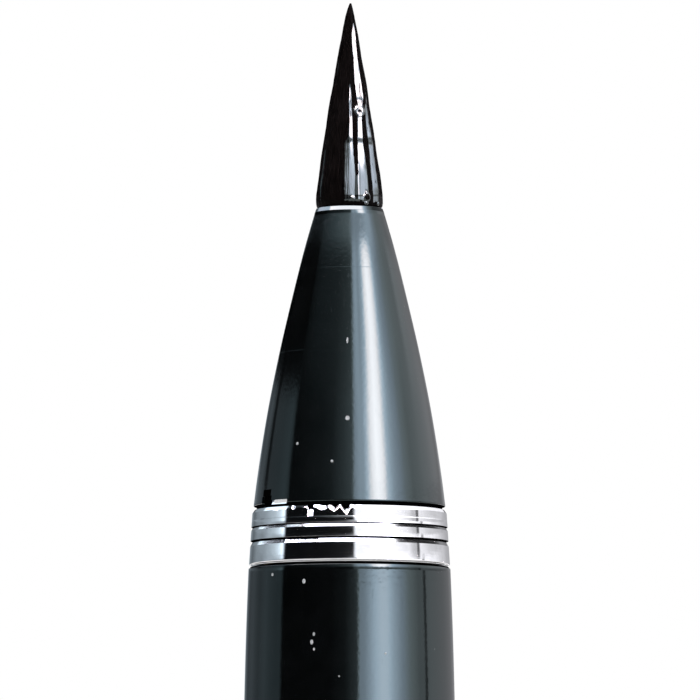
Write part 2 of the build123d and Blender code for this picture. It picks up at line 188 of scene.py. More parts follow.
    # the flag also hides the left side of the room above a certain height
    flag = math_node(nt, "MULTIPLY", step(az, -78.0, -81.0), step(el, 25.8, 27.0))
    flag = math_node(nt, "MULTIPLY", flag, step(el, 39.0, 36.5))
    open_ = math_node(nt, "SUBTRACT", 1.0, math_node(nt, "MULTIPLY", flag, 0.93))
    value = math_node(nt, "MULTIPLY", level.outputs[0], open_)

    def blend_colour(f, a, b):
        t = nt.nodes.new("ShaderNodeMix")
        t.data_type = "RGBA"
        nt.links.new(f, t.inputs[0])
        for i, c in ((6, a), (7, b)):
            if isinstance(c, tuple):
                t.inputs[i].default_value = (*c, 1)
            else:
                nt.links.new(c, t.inputs[i])
        return t.outputs[2]

    side = blend_colour(step(az, -60.0, 20.0), (0.84, 1.0, 1.13), (0.98, 0.98, 1.03))
    col = blend_colour(step(value, 0.07, 0.13), side, (0.98, 1.0, 1.20))
    col = blend_colour(step(value, 0.30, 0.55), col, (1.26, 1.0, 1.05))
    lit = nt.nodes.new("ShaderNodeBackground")
    nt.links.new(col, lit.inputs[0])
    nt.links.new(math_node(nt, "MULTIPLY", value, S), lit.inputs[1])
    plain = nt.nodes.new("ShaderNodeBackground")
    plain.inputs[0].default_value = (1, 1, 1, 1)
    plain.inputs[1].default_value = 1.0
    path = nt.nodes.new("ShaderNodeLightPath")
    soft = math_node(nt, "MAXIMUM", path.outputs["Is Camera Ray"],
                     path.outputs["Is Diffuse Ray"])
    mix = nt.nodes.new("ShaderNodeMixShader")
    nt.links.new(soft, mix.inputs[0])
    nt.links.new(lit.outputs[0], mix.inputs[1])
    nt.links.new(plain.outputs[0], mix.inputs[2])
    nt.links.new(mix.outputs[0], out.inputs[0])
    scene.view_settings.view_transform = "Standard"
    scene.view_settings.look = "None"


make_camera()
make_world()


# ================================================================ mesh helpers
def finish_mesh(name, verts, faces, sharp=38.0, smooth=True):
    me = bpy.data.meshes.new(name)
    me.from_pydata([tuple(v) for v in verts], [], faces)
    bm = bmesh.new()
    bm.from_mesh(me)
    bmesh.ops.remove_doubles(bm, verts=bm.verts, dist=1e-8)
    bmesh.ops.recalc_face_normals(bm, faces=bm.faces)
    bm.to_mesh(me)
    bm.free()
    me.polygons.foreach_set("use_smooth", [smooth] * len(me.polygons))
    if smooth and sharp:
        me.set_sharp_from_angle(angle=math.radians(sharp))
    me.update()
    ob = bpy.data.objects.new(name, me)
    scene.collection.objects.link(ob)
    return ob


def lathe(name, loop, seg=256, shape=None, sharp=38.0):
    """A closed mesh turned about Z from a closed outline of (radius, height) in mm.
    shape(theta, r, z, index) may move a ring's points in or out."""
    th = np.arange(seg) * 2 * math.pi / seg
    verts, rings = [], []
    for i, (r, z) in enumerate(loop):
        if r < 1e-6:
            rings.append([len(verts)])
            verts.append((0, 0, z * MM))
            continue
        rr = np.full(seg, r) if shape is None else shape(th, r, z, i)
        start = len(verts)
        verts += [(rr[k] * math.cos(th[k]) * MM, rr[k] * math.sin(th[k]) * MM, z * MM)
                  for k in range(seg)]
        rings.append(list(range(start, start + seg)))
    faces = []
    for i in range(len(rings)):
        a, b = rings[i], rings[(i + 1) % len(rings)]
        if len(a) == 1 and len(b) == 1:
            continue
        for k in range(seg):
            n = (k + 1) % seg
            if len(a) == 1:
                faces.append((a[0], b[k], b[n]))
            elif len(b) == 1:
                faces.append((a[k], a[n], b[0]))
            else:
                faces.append((a[k], a[n], b[n], b[k]))
    return finish_mesh(name, verts, faces, sharp)


def rounded(points, steps=5):
    """A closed outline from (radius, height, corner radius), corners made round."""
    out = []
    n = len(points)
    for i in range(n):
        p = np.array(points[i][:2], float)
        rad = points[i][2] if len(points[i]) > 2 else 0
        if rad <= 0:
            out.append(tuple(p))
            continue
        a = np.array(points[i - 1][:2], float) - p
        b = np.array(points[(i + 1) % n][:2], float) - p
        la, lb = np.linalg.norm(a), np.linalg.norm(b)
        a, b = a / la, b / lb
        half = math.acos(max(-1, min(1, float(a @ b)))) / 2
        cut = min(rad / math.tan(half), la * 0.49, lb * 0.49)
        r = cut * math.tan(half)
        centre = p + (a + b) / np.linalg.norm(a + b) * (r / math.sin(half))
        s, e = p + a * cut - centre, p + b * cut - centre
        a0, a1 = math.atan2(s[1], s[0]), math.atan2(e[1], e[0])
        d = (a1 - a0 + math.pi) % (2 * math.pi) - math.pi
        for k in range(steps + 1):
            t = a0 + d * k / steps
            out.append((centre[0] + r * math.cos(t), centre[1] + r * math.sin(t)))
    return out


def smooth_curve(xs, ys):
    """A shape-keeping cubic through the points, as a function."""
    xs, ys = np.array(xs, float), np.array(ys, float)
    h, d = np.diff(xs), np.diff(ys) / np.diff(xs)
    m = np.zeros(len(xs))
    m[0], m[-1] = d[0], d[-1]
    for i in range(1, len(xs) - 1):
        if d[i - 1] * d[i] > 0:
            w1, w2 = 2 * h[i] + h[i - 1], h[i] + 2 * h[i - 1]
            m[i] = (w1 + w2) / (w1 / d[i - 1] + w2 / d[i])

    def f(x):
        x = np.clip(x, xs[0], xs[-1])
        i = np.clip(np.searchsorted(xs, x) - 1, 0, len(xs) - 2)
        t = (x - xs[i]) / h[i]
        return ((2 * t ** 3 - 3 * t ** 2 + 1) * ys[i] + (t ** 3 - 2 * t ** 2 + t) * h[i] * m[i]
                + (3 * t ** 2 - 2 * t ** 3) * ys[i + 1] + (t ** 3 - t ** 2) * h[i] * m[i + 1])
    return f


# =================================================================== materials
def base_material(name):
    mat = bpy.data.materials.new(name)
    mat.use_nodes = True
    nt = mat.node_tree
    nt.nodes.clear()
    out = nt.nodes.new("ShaderNodeOutputMaterial")
    bsdf = nt.nodes.new("ShaderNodeBsdfPrincipled")
    nt.links.new(bsdf.outputs[0], out.inputs[0])
    tc = nt.nodes.new("ShaderNodeTexCoord")
    mp = nt.nodes.new("ShaderNodeMapping")          # object coordinates in mm
    mp.inputs["Scale"].default_value = (1000, 1000, 1000)
    nt.links.new(tc.outputs["Object"], mp.inputs[0])
    return mat, nt, bsdf, mp.outputs[0]


def noise(nt, co, scale, detail=3.0, rough=0.5, stretch=None):
    if stretch:
        m = nt.nodes.new("ShaderNodeMapping")
        m.inputs["Scale"].default_value = stretch
        nt.links.new(co, m.inputs[0])
        co = m.outputs[0]
    n = nt.nodes.new("ShaderNodeTexNoise")
    n.inputs["Scale"].default_value = scale
    n.inputs["Detail"].default_value = detail
    n.inputs["Roughness"].default_value = rough
    nt.links.new(co, n.inputs["Vector"])
    return n.outputs[0]


def remap(nt, v, a, b, c, d):
    n = nt.nodes.new("ShaderNodeMapRange")
    n.inputs["From Min"].default_value = a
    n.inputs["From Max"].default_value = b
    n.inputs["To Min"].default_value = c
    n.inputs["To Max"].default_value = d
    nt.links.new(v, n.inputs["Value"])
    return n.outputs[0]


def mix_colour(nt, fac, a, b):
    n = nt.nodes.new("ShaderNodeMix")
    n.data_type = "RGBA"
    nt.links.new(fac, n.inputs[0])
    for i, c in ((6, a), (7, b)):
        if isinstance(c, tuple):
            n.inputs[i].default_value = (*c, 1)
        else:
            nt.links.new(c, n.inputs[i])
    return n.outputs[2]


def bump(nt, bsdf, height, distance, strength=1.0, below=None):
    n = nt.nodes.new("ShaderNodeBump")
    n.inputs["Strength"].default_value = strength
    n.inputs["Distance"].default_value = distance
    nt.links.new(height, n.inputs["Height"])
    if below is not None:
        nt.links.new(below, n.inputs["Normal"])
    nt.links.new(n.outputs[0], bsdf.inputs["Normal"])
    return n.outputs[0]


def specks(nt, co, scale, radius, keep):
    """Sparse round specks: 1 on a speck and 0 elsewhere."""
    v = nt.nodes.new("ShaderNodeTexVoronoi")
    v.feature = "F1"
    v.inputs["Scale"].default_value = scale
    nt.links.new(co, v.inputs["Vector"])
    sep = nt.nodes.new("ShaderNodeSeparateColor")
    nt.links.new(v.outputs["Color"], sep.inputs[0])
    size = remap(nt, sep.outputs[1], 0, 1, radius * 0.35, radius)
    near = math_node(nt, "LESS_THAN", v.outputs["Distance"], size)
    chosen = math_node(nt, "LESS_THAN", sep.outputs[0], keep)
    return math_node(nt, "MULTIPLY", near, chosen)


def point_specks(nt, co, places):
    """Specks of dust at given places: (x, y, z, radius), or with a stretch in z."""
    total = None
    for x, y, z, r, tall in places:
        m = nt.nodes.new("ShaderNodeMapping")
        m.inputs["Location"].default_value = (-x, -y, -z / tall)
        m.inputs["Scale"].default_value = (1, 1, 1 / tall)
        nt.links.new(co, m.inputs[0])
        ln = nt.nodes.new("ShaderNodeVectorMath")
        ln.operation = "LENGTH"
        nt.links.new(m.outputs[0], ln.inputs[0])
        one = math_node(nt, "LESS_THAN", ln.outputs["Value"], r)
        total = one if total is None else math_node(nt, "MAXIMUM", total, one)
    return total


def gloss_black(name, dust=0.10, rough=0.07, places=()):
    """Near-black moulded plastic: orange peel, faint scratches, dust specks."""
    mat, nt, bsdf, co = base_material(name)
    cloud = noise(nt, co, 0.55, 4.0)
    col = mix_colour(nt, remap(nt, cloud, 0.3, 0.7, 0, 1), (0.0010, 0.0012, 0.0013),
                     (0.0028, 0.0031, 0.0034))
    d = specks(nt, co, 0.85, 0.060, dust)
    if places:
        d = math_node(nt, "MAXIMUM", d, point_specks(nt, co, places))
    col = mix_colour(nt, d, col, (0.40, 0.41, 0.42))
    nt.links.new(col, bsdf.inputs["Base Color"])
    bsdf.inputs["Specular Tint"].default_value = (0.76, 1.0, 1.0, 1)
    wear = noise(nt, co, 2.6, 6.0, 0.7)
    r = remap(nt, wear, 0.35, 0.70, rough * 0.7, rough * 1.4)
    scratch = noise(nt, co, 1.0, 2.0, 0.5, (9.0, 9.0, 0.35))
    r = math_node(nt, "ADD", r, remap(nt, scratch, 0.66, 0.72, 0.0, 0.08))
    r = math_node(nt, "ADD", r, math_node(nt, "MULTIPLY", d, 0.5), clamp=True)
    nt.links.new(r, bsdf.inputs["Roughness"])
    bsdf.inputs["IOR"].default_value = 1.5
    peel = noise(nt, co, 1.5, 2.0, 0.4, (1.0, 1.0, 0.6))
    n1 = bump(nt, bsdf, peel, 0.0000020)
    fine = noise(nt, co, 4.6, 2.0, 0.5)
    bump(nt, bsdf, math_node(nt, "ADD", fine, math_node(nt, "MULTIPLY", d, 1.5)),
         0.0000024, below=n1)
    return mat


def polished(name, colour=(0.90, 0.90, 0.905), rough=0.055, stretch=(0.5, 0.5, 26.0)):
    """Plated metal with the fine rings that turning leaves, and light tarnish."""
    mat, nt, bsdf, co = base_material(name)
    bsdf.inputs["Metallic"].default_value = 1.0
    tone = noise(nt, co, 1.3, 4.0, 0.6)
    dark = tuple(c * 0.88 for c in colour)
    nt.links.new(mix_colour(nt, remap(nt, tone, 0.35, 0.7, 0, 1), colour, dark),
                 bsdf.inputs["Base Color"])
    lines = noise(nt, co, 1.0, 3.0, 0.6, stretch)
    r = remap(nt, lines, 0.3, 0.75, rough * 0.7, rough * 1.8)
    nt.links.new(r, bsdf.inputs["Roughness"])
    wob = noise(nt, co, 0.9, 2.0, 0.5)
    n1 = bump(nt, bsdf, wob, 0.000004)
    bump(nt, bsdf, lines, 0.00000035, below=n1)
    return mat


def hair_material(name, wet):
    """Black hair: under a film of wet ink it is glossy, elsewhere it is dull."""
    mat, nt, bsdf, co = base_material(name)
    strand = noise(nt, co, 1.0, 3.0, 0.6, (11.0, 11.0, 0.25))
    col = mix_colour(nt, remap(nt, strand, 0.3, 0.7, 0, 1), (0.0012, 0.0009, 0.0009),
                     (0.0058, 0.0044, 0.0042))
    nt.links.new(col, bsdf.inputs["Base Color"])
    if wet:
        r = remap(nt, strand, 0.3, 0.7, 0.05, 0.13)
        bsdf.inputs["IOR"].default_value = 1.52
        bsdf.inputs["Specular Tint"].default_value = (0.74, 0.98, 0.93, 1)
        bsdf.inputs["Coat Weight"].default_value = 1.0
        bsdf.inputs["Coat IOR"].default_value = 1.52
        bsdf.inputs["Coat Roughness"].default_value = 0.05
    else:
        r = remap(nt, strand, 0.3, 0.7, 0.26, 0.42)
        bsdf.inputs["IOR"].default_value = 1.45
        bsdf.inputs["Specular IOR Level"].default_value = 0.010
    nt.links.new(r, bsdf.inputs["Roughness"])
    fine = noise(nt, co, 1.0, 2.0, 0.5, (22.0, 22.0, 0.3))
    bump(nt, bsdf, fine, 0.0000016 if wet else 0.000004)
    return mat


def plain_part(name, colour, rough, metal=0.0, grain=3.0, depth=0.000002,
               stretch=None, vary=0.25):
    """A simple material with grain, for the pieces inside the pen."""
    mat, nt, bsdf, co = base_material(name)
    bsdf.inputs["Metallic"].default_value = metal
    n = noise(nt, co, grain, 4.0, 0.6, stretch)
    low = tuple(c * (1 - vary) for c in colour)
    nt.links.new(mix_colour(nt, remap(nt, n, 0.3, 0.7, 0, 1), low, colour),
                 bsdf.inputs["Base Color"])
    nt.links.new(remap(nt, n, 0.3, 0.7, rough * 0.75, min(1.0, rough * 1.25)),
                 bsdf.inputs["Roughness"])
    bump(nt, bsdf, n, depth)
    return mat


M_BLACK = gloss_black("gloss_black", places=(
    (-0.115, -4.82, 123.60, 0.125, 1.0), (-2.955, -4.08, 122.20, 0.085, 1.0),
    (-0.99, -5.10, 121.13, 0.080, 1.0), (-0.12, -3.94, 128.10, 0.055, 4.0)))
M_BARREL = gloss_black("gloss_black_barrel", rough=0.065, places=(
    (-4.39, -3.84, 114.76, 0.090, 1.0), (-2.585, -5.237, 114.31, 0.105, 1.3),
    (-2.02, -5.60, 111.30, 0.070, 1.6), (-2.14, -5.56, 110.85, 0.090, 1.5),
    (-2.00, -5.60, 110.45, 0.060, 1.4), (-0.58, -5.93, 108.9, 0.060, 1.0),
    (-0.20, -5.95, 107.6, 0.055, 1.0), (2.03, -5.60, 110.2, 0.060, 1.0)))
M_CAP = gloss_black("gloss_black_cap", dust=0.12, rough=0.09)
M_METAL = polished("polished_metal")
M_CLIP = polished("polished_clip", rough=0.09, stretch=(18.0, 18.0, 0.6))
M_WET = hair_material("hair_wet", True)
M_DRY = hair_material("hair_dry", False)


def put(ob, mat, body, slot, *replaced):
    ob.data.materials.clear()
    ob.data.materials.append(mat)
    if body:
        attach(ob, body)
    if replaced:
        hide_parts(*replaced)
    return ob


# ===================================================================== section
NOSE_Z = TOTAL - 11.95
SEC_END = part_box("trim_ring")[1].z / MM         # where ring and section meet
RING_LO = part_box("trim_ring")[0].z / MM
sec_f = smooth_curve(
    [TOTAL - t for t in (29.20, 27.51, 24.05, 20.59, 17.13, 14.25, 12.06)],
    [5.512, 5.300, 4.767, 4.093, 3.300, 2.582, 1.955])


def thread_shape(z_lo, z_hi, core, major, width, crest, z0, pitch=1.0):
    """Radius of a right-hand thread at angle theta and height z."""
    def f(th, r, z, i):
        if not z_lo - 0.5 < z < z_hi + 0.5 or abs(r - core) > 0.02:
            return np.full(len(th), r)
        phase = (z - z0) / pitch - th / (2 * math.pi)
        off = np.abs(phase - np.round(phase)) * pitch
        h = np.clip((width / 2 - off) / (width / 2 - crest / 2), 0, 1)
        turn = (z - z0) / pitch - (phase - np.round(phase))
        fade = np.clip(np.minimum(z - z_lo, z_hi - z) / 0.35, 0, 1)
        return r + (major - core) * h * fade
    return f


SEAMS = (TOTAL - 15.55, TOTAL - 20.38)


def section_row(z):
    """Radius at a height, with two hair-fine seam lines."""
    r = float(sec_f(z))
    for s in SEAMS:
        r -= 0.0013 * math.exp(-((z - s) / 0.022) ** 2)
    return r


levels = set(np.round(np.linspace(SEC_END + 0.30, NOSE_Z - 0.30, 90), 4))
levels |= set(np.round(np.arange(SEC_END + 0.20, SEC_END + 1.10, 0.045), 4))
for seam in SEAMS:
    levels |= set(np.round(seam + np.arange(-3, 4) * 0.015, 4))
outer = [(section_row(z), z) for z in sorted(levels)]
nose_arc = [(2.007, NOSE_Z - 0.265), (1.999, NOSE_Z - 0.240), (1.990, NOSE_Z - 0.215),
            (1.918, NOSE_Z - 0.030), (1.913, NOSE_Z - 0.016), (1.902, NOSE_Z - 0.004),
            (1.880, NOSE_Z)]
loop = [(4.61, SEC_END + 0.005), (5.31, SEC_END + 0.005), (5.32, SEC_END + 0.02),
        (5.322, SEC_END + 0.085), (5.325, SEC_END + 0.145)]
loop += [(5.465 + 0.028 * math.sin(a), SEC_END + 0.180 - 0.028 * math.cos(a))
         for a in np.linspace(0, math.radians(80), 5)]
loop += outer + nose_arc
loop += [(1.80, NOSE_Z), (1.80, 133.85), (2.20, 133.45), (2.20, 128.0), (3.30, 128.0),
         (3.30, 109.45), (3.45, 109.30), (3.90, 109.30), (4.10, 109.50)]
loop += [(4.10, z) for z in np.arange(109.56, 113.14, 0.05)]
loop += [(4.12, 113.16), (4.38, 113.28), (4.40, 113.32), (4.40, 113.80), (3.70, 113.82),
         (3.70, 114.98), (4.40, 115.0), (4.40, 115.49), (4.42, 115.5), (4.59, 115.5),
         (4.61, 115.52)]
screw = thread_shape(109.55, 113.1, 4.10, 4.50, 0.66, 0.22, 109.75)
NOTCH = (math.radians(-90 - 60.0), math.radians(4.8), SEC_END + 0.02, SEC_END + 0.96)


def in_notch(th, z):
    off = np.abs((th - NOTCH[0] + math.pi) % (2 * math.pi) - math.pi)
    return (off < NOTCH[1]) & (z > NOTCH[2]) & (z < NOTCH[3])


STRIP = (math.radians(-90 - 54.8), math.radians(-90 - 41.0), SEC_END + 0.02, SEC_END + 0.33)


def in_strip(th, z):
    """A short plated tab in the lip, beside the notch."""
    a = (th + math.pi) % (2 * math.pi) - math.pi
    return (a > STRIP[0]) & (a < STRIP[1]) & (z < STRIP[3])


def section_shape(th, r, z, i):
    """The screw on the spigot, and a small moulded notch above the ring."""
    rr = screw(th, r, z, i)
    if r > 5.45:
        rr = rr - 0.13 * in_notch(th, z)
    if r > 5.2 and z > SEC_END + 0.08:
        rr = np.where(in_strip(th, z), 5.50 - 0.66 * (z - STRIP[2]), rr)
    return rr


section = lathe("section_shell_vis", loop, 384, section_shape)
put(section, M_BLACK, "section", "gloss_black", "section_shell")
# A black that reflects nothing: painted shade, laid in the gaps beside the trim ring, in the moulded notch and
# under the groove shoulders
gap_shade = plain_part("painted_shade_recess", (0.0012, 0.0012, 0.0012), 0.7)
gap_shade.node_tree.nodes["Principled BSDF"].inputs["Specular IOR Level"].default_value = 0.0
section.data.materials.append(gap_shade)
section.data.materials.append(M_METAL)
# Painted shade: the notch and the band of lip just above the ring take the black that reflects nothing; the tab
# takes plated metal
for p in section.data.polygons:
    c = p.center / MM
    if math.hypot(c.x, c.y) > 5.0 and in_notch(math.atan2(c.y, c.x), c.z):
        p.material_index = 1
    elif (math.hypot(c.x, c.y) > 5.22 and SEC_END + 0.09 < c.z
          and in_strip(math.atan2(c.y, c.x), c.z)):
        p.material_index = 2
    elif math.hypot(c.x, c.y) > 5.0 and SEC_END < c.z < SEC_END + 0.158:
        p.material_index = 1

# =================================================================== trim ring
r_top, r_end = 5.560, 5.765


def flank(z):
    return r_top + (SEC_END - z) / (SEC_END - RING_LO) * (r_end - r_top)


def crowned(z_hi, z_lo, top_r, low_r, n=16):
    """A band with rounded edges and a barely crowned face, from its top down."""
    pts = []
    for k in range(n + 1):
        u = 0.5 - 0.5 * math.cos(math.pi * k / n)
        z = z_hi + (z_lo - z_hi) * u
        drop = 0.0
        for d, e in ((z_hi - z, top_r), (z - z_lo, low_r)):
            if d < e:
                drop += e - math.sqrt(max(0.0, e ** 2 - (e - d) ** 2))
        pts.append((flank(z) + 0.003 * math.sin(math.pi * u) - drop, z))
    return pts


def groove(hi, lo):
    """A square shoulder above and a sloping flank below it."""
    cut = math.tan(math.radians(27.2)) * (hi - 0.015 - lo)
    return [(flank(lo) - cut, hi), (flank(lo) - cut, hi - 0.015)]


g1, g2 = (SEC_END - 1.045, SEC_END - 1.272), (SEC_END - 1.835, SEC_END - 2.165)
RIM_HI = SEC_END - 0.065
ring_loop = [(4.61, SEC_END - 0.005), (5.31, SEC_END - 0.005), (5.325, SEC_END - 0.02),
             (5.330, RIM_HI + 0.004), (flank(RIM_HI) - 0.14, RIM_HI)]
ring_loop += [(flank(z), z) for z in np.arange(RIM_HI - 0.015, RIM_HI - 0.62, -0.025)]
ring_loop += crowned(RIM_HI - 0.64, g1[0], 0.001, 0.001, 12)
ring_loop += groove(*g1) + crowned(g1[1], g2[0], 0.0, 0.001)
ring_loop += groove(*g2) + crowned(g2[1], RING_LO + 0.05, 0.0, 0.09)
ring_loop += [(r_end - 0.10, RING_LO + 0.022), (5.20, RING_LO + 0.01), (4.61, RING_LO + 0.01)]
# how far the rim is worn back, by turn in degrees from the front
WORN = np.array([
    [-180, .19], [-60, .19], [-42.6, .21], [-40.6, .21], [-40.0, .12], [-36, .12], [-35.2, .20],
    [-34.2, .20], [-33.4, .12], [-25.2, .10], [-24.9, .62], [-21.9, .62], [-21.6, .10],
    [-20, .13], [-16.6, .29], [-14.0, .24], [-12.4, .13], [-9.0, .38], [-6.0, .14],
    [-5.2, .14], [-1.6, .56], [0.4, .20], [2.2, .14], [3.6, .20], [60, .19], [180, .19]])


def ring_shape(th, r, z, i):
    """The rim's bevel, knocked and worn in places, and dents in a groove."""
    turn = (np.degrees(th) + 90 + 180) % 360 - 180
    out = np.full(len(th), r)
    if RIM_HI - 0.62 < z < RIM_HI + 0.001 and r > 5.36:
        worn = np.interp(turn, WORN[:, 0], WORN[:, 1])
        lift = np.clip(worn - (RIM_HI - z), 0, 1)
        return flank(z) - 0.655 * lift
    if g2[1] - 0.01 < z < g2[0] and r < flank(z) - 0.003:
        rough = np.interp(turn, [-40.5, -39, -19, -18], [0, 1, 1, 0])
        return out - 0.05 * rough * (1 + np.sin(turn * 4.1) * np.sin(turn * 1.7))
    return out


ring = lathe("trim_ring_vis", ring_loop, 960, ring_shape, sharp=18)
put(ring, M_METAL, "section", "polished_metal", "trim_ring")
ring.data.materials.append(gap_shade)
# Painted shade: the ring's top face in the gap and the underside of each groove's shoulder take the black that
# reflects nothing
for p in ring.data.polygons:
    c = p.center / MM
    r = math.hypot(c.x, c.y)
    if c.z > RIM_HI + 0.0005 and r > 5.2 or any(g[0] - 0.0151 < c.z < g[0] + 0.0001 for g in (g1, g2)):
        p.material_index = 1

# ====================================================================== barrel
BAR_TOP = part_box("barrel_tube")[1].z / MM
BAR_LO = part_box("barrel_tube")[0].z / MM
bar_f = smooth_curve([26.9, 51.0, 52.0, 66.0, 99.0, 102.03, 105.50, 108.95, 111.26, 113.57, 115.40],
                     [5.498, 6.02, 6.035, 6.128, 6.130, 6.108, 6.066, 5.998, 5.936, 5.859, 5.786])
bar = [(5.10, BAR_TOP), (5.62, BAR_TOP), (5.69, BAR_TOP - 0.015), (5.695, BAR_TOP - 0.085)]
bar += [(5.760 + 0.024 * math.sin(a), BAR_TOP - 0.119 + 0.024 * math.cos(a))
        for a in np.linspace(0, math.radians(86), 5)]
bar += [(float(bar_f(z)), z) for z in np.linspace(BAR_TOP - 0.15, 99.0, 60)]
bar += [(float(bar_f(z)), z) for z in np.linspace(98.0, BAR_LO + 0.5, 60)]
bar += rounded([(float(bar_f(BAR_LO + 0.4)), BAR_LO + 0.4), (5.50, BAR_LO, 0.25),
                (4.6, BAR_LO)])[1:]
bar += [(4.10, BAR_LO), (4.10, 108.0), (5.10, 108.0)]
barrel = lathe("barrel_tube_vis", bar, 256)
put(barrel, M_BARREL, "barrel", "gloss_black", "barrel_tube")
barrel.data.materials.append(gap_shade)
# Painted shade: the barrel's top edge under the ring takes the black that reflects nothing
for p in barrel.data.polygons:
    if BAR_TOP - 0.108 < p.center.z / MM and math.hypot(*p.center.xy) / MM > 5.4:
        p.material_index = 1

plug = lathe("barrel_plug_vis", rounded([
    (0, 26.0), (4.85, 26.0, 0.3), (5.20, 26.35, 0.2), (5.20, 27.0), (4.10, 27.0),
    (4.10, 35.5), (3.60, 36.0), (2.90, 36.0), (2.90, 27.8), (0, 27.8)]), 128)
put(plug, M_CAP, "barrel", "gloss_black", "barrel_plug")

seal_z = (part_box("thread_seal_ring")[0].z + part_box("thread_seal_ring")[1].z) / 2 / MM
seal = lathe("thread_seal_ring_vis", [
    (4.25 + 0.49 * math.cos(a), seal_z + 0.49 * math.sin(a))
    for a in np.arange(24) * math.pi / 12], 128, sharp=0)
put(seal, plain_part("seal_rubber", (0.022, 0.022, 0.022), 0.42, grain=6.0), "seal_ring",
    "seal_rubber", "thread_seal_ring")

# ========================================================================= cap
CAP_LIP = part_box("cap_shell")[1].z / MM
CAP_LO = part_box("cap_shell")[0].z / MM


def cap_r(z):
    return 6.20 + (z - CAP_LO) / (CAP_LIP - CAP_LO) * 0.66


BAND_LO, BAND_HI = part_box("cap_band")[0].z / MM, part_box("cap_band")[1].z / MM
cap_loop = [(1.53, CAP_LO), (6.02, CAP_LO)]
cap_loop += [(6.06 + 0.14 * math.sin(a), CAP_LO + 0.14 - 0.14 * math.cos(a))
             for a in np.linspace(0, math.radians(88), 6)]
cap_loop += [(cap_r(z), z) for z in np.linspace(CAP_LO + 0.3, BAND_LO - 0.12, 60)]
cap_loop += [(cap_r(BAND_LO) - 0.03, BAND_LO - 0.04), (6.50, BAND_LO - 0.03),
             (6.50, CAP_LIP - 0.18)]
cap_loop += [(6.36 + 0.14 * math.cos(a), CAP_LIP - 0.14 + 0.14 * math.sin(a))
             for a in np.linspace(0.1, math.pi / 2, 5)]
cap_loop += [(6.18, CAP_LIP), (6.09, CAP_LIP - 0.06), (6.06, CAP_LIP - 0.25),
             (6.06, CAP_LIP - 1.2), (5.66, 27.0), (5.66, 25.7), (5.31, 25.6),
             (5.31, 4.5), (1.53, 4.5)]
cap = lathe("cap_shell_vis", cap_loop, 256)


def slot_cutter():
    """The small rounded slot for the clip's tongue."""
    bm = bmesh.new()
    bmesh.ops.create_cube(bm, size=1)
    for v in bm.verts:
        v.co = Vector((v.co.x * 4.0, v.co.y * 2.4 - 6.0, v.co.z * 1.1 + 5.8)) * MM
    bmesh.ops.bevel(bm, geom=[e for e in bm.edges if abs((e.verts[0].co - e.verts[1].co).normalized().y) > 0.9],
                    offset=0.00035, segments=5, profile=0.5, affect="EDGES")
    me = bpy.data.meshes.new("slot_cutter")
    bm.to_mesh(me)
    bm.free()
    ob = bpy.data.objects.new("slot_cutter", me)
    scene.collection.objects.link(ob)
    return ob


def apply_modifiers(ob):
    bpy.context.view_layer.update()
    dg = bpy.context.evaluated_depsgraph_get()
    me = bpy.data.meshes.new_from_object(ob.evaluated_get(dg))
    ob.modifiers.clear()
    ob.data = me


cutter = slot_cutter()
mod = cap.modifiers.new("slot", "BOOLEAN")
mod.operation = "DIFFERENCE"
mod.solver = "EXACT"
mod.object = cutter
apply_modifiers(cap)
bpy.data.objects.remove(cutter)
cap.data.polygons.foreach_set("use_smooth", [True] * len(cap.data.polygons))
cap.data.set_sharp_from_angle(angle=math.radians(38))
put(cap, M_CAP, "cap", "gloss_black", "cap_shell")

bm_ = (BAND_LO + BAND_HI) / 2


def flat_band(z_lo, z_hi, r, edge=0.09, n=12):
    pts = []
    for k in range(n + 1):
        u = 0.5 - 0.5 * math.cos(math.pi * k / n)
        z = z_lo + (z_hi - z_lo) * u
        d = min(z_hi - z, z - z_lo)
        drop = edge - math.sqrt(max(0.0, edge ** 2 - (edge - d) ** 2)) if d < edge else 0
        pts.append((r - 0.012 + 0.010 * math.sin(math.pi * u) - drop, z))
    return pts


b1, b2 = bm_ - 0.42, bm_ + 0.42
band_loop = [(6.505, BAND_LO)] + flat_band(BAND_LO + 0.01, b1 - 0.09, 6.95)
band_loop += [(6.78, b1 - 0.05), (6.765, b1), (6.78, b1 + 0.05)]
band_loop += flat_band(b1 + 0.09, b2 - 0.09, 6.95)
band_loop += [(6.78, b2 - 0.05), (6.765, b2), (6.78, b2 + 0.05)]
band_loop += flat_band(b2 + 0.09, BAND_HI - 0.01, 6.95) + [(6.505, BAND_HI)]
put(lathe("cap_band_vis", band_loop, 320), M_METAL, "cap", "polished_metal", "cap_band")

finial_loop = [(0, 0), (4.70, 0)]
finial_loop += [(4.70 + 1.10 * math.sin(a), 0.95 - 0.95 * math.cos(a))
                for a in np.linspace(0.08, math.pi / 2, 16)]
finial_loop += [(5.80, 1.16), (5.76, 1.20), (1.50, 1.20), (1.50, 6.2), (1.30, 6.4), (0, 6.4)]
put(lathe("crown_finial_vis", finial_loop, 256), M_CAP, "cap", "gloss_black", "crown_finial")

washer_loop = [(1.53, 1.20), (5.85, 1.20)]
washer_loop += [(5.80 + 0.35 * math.cos(a), 1.55 + 0.345 * math.sin(a))
                for a in np.linspace(-math.pi / 2 + 0.1, math.pi / 2 - 0.1, 14)]
washer_loop += [(5.85, 1.90), (1.53, 1.90)]
put(lathe("crown_washer_vis", washer_loop, 256), M_METAL, "cap", "polished_metal", "crown_washer")


